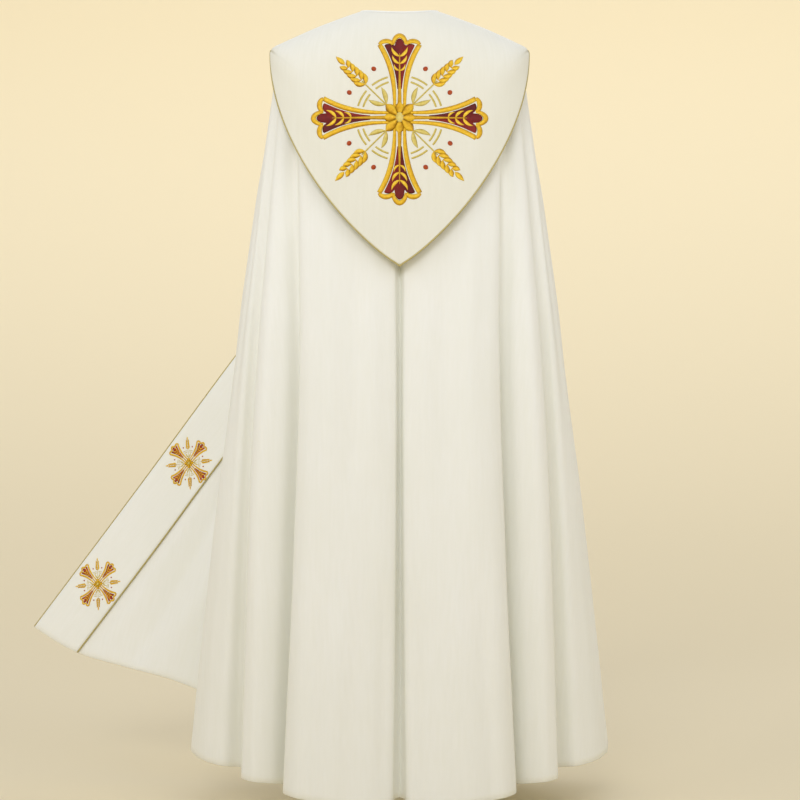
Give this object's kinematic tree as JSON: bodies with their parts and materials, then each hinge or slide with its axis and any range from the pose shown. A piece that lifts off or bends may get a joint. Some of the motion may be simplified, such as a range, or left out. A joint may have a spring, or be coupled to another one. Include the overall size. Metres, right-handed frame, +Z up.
{
  "type": "cope vestment",
  "caption": "Floor-length ivory cope with a shield-shaped hood, front bands and a chest clasp tab, filled out as worn with its left front swung open.",
  "frame": {"origin": "middle of the neck opening, at the height of the nape", "axes": "+Z up, -Y towards the wearer's back, +X towards the wearer's right hand; the left front is swung out towards -X"},
  "size_m": [1.1202, 0.5871, 1.423],
  "materials": {
    "ivory_cloth": "matt woven cloth",
    "gold_cord": "twisted metallic thread"
  },
  "bodies": {
    "root": {"body_left": "ivory_cloth", "body_right": "ivory_cloth", "hood": "ivory_cloth", "orphrey_left": "ivory_cloth", "orphrey_right": "ivory_cloth", "neck_binding": "ivory_cloth", "clasp_tab": "ivory_cloth", "piping_hood": "gold_cord", "piping_edge_left": "gold_cord", "piping_inner_left": "gold_cord", "piping_edge_right": "gold_cord", "piping_inner_right": "gold_cord"}
  },
  "joints": []
}
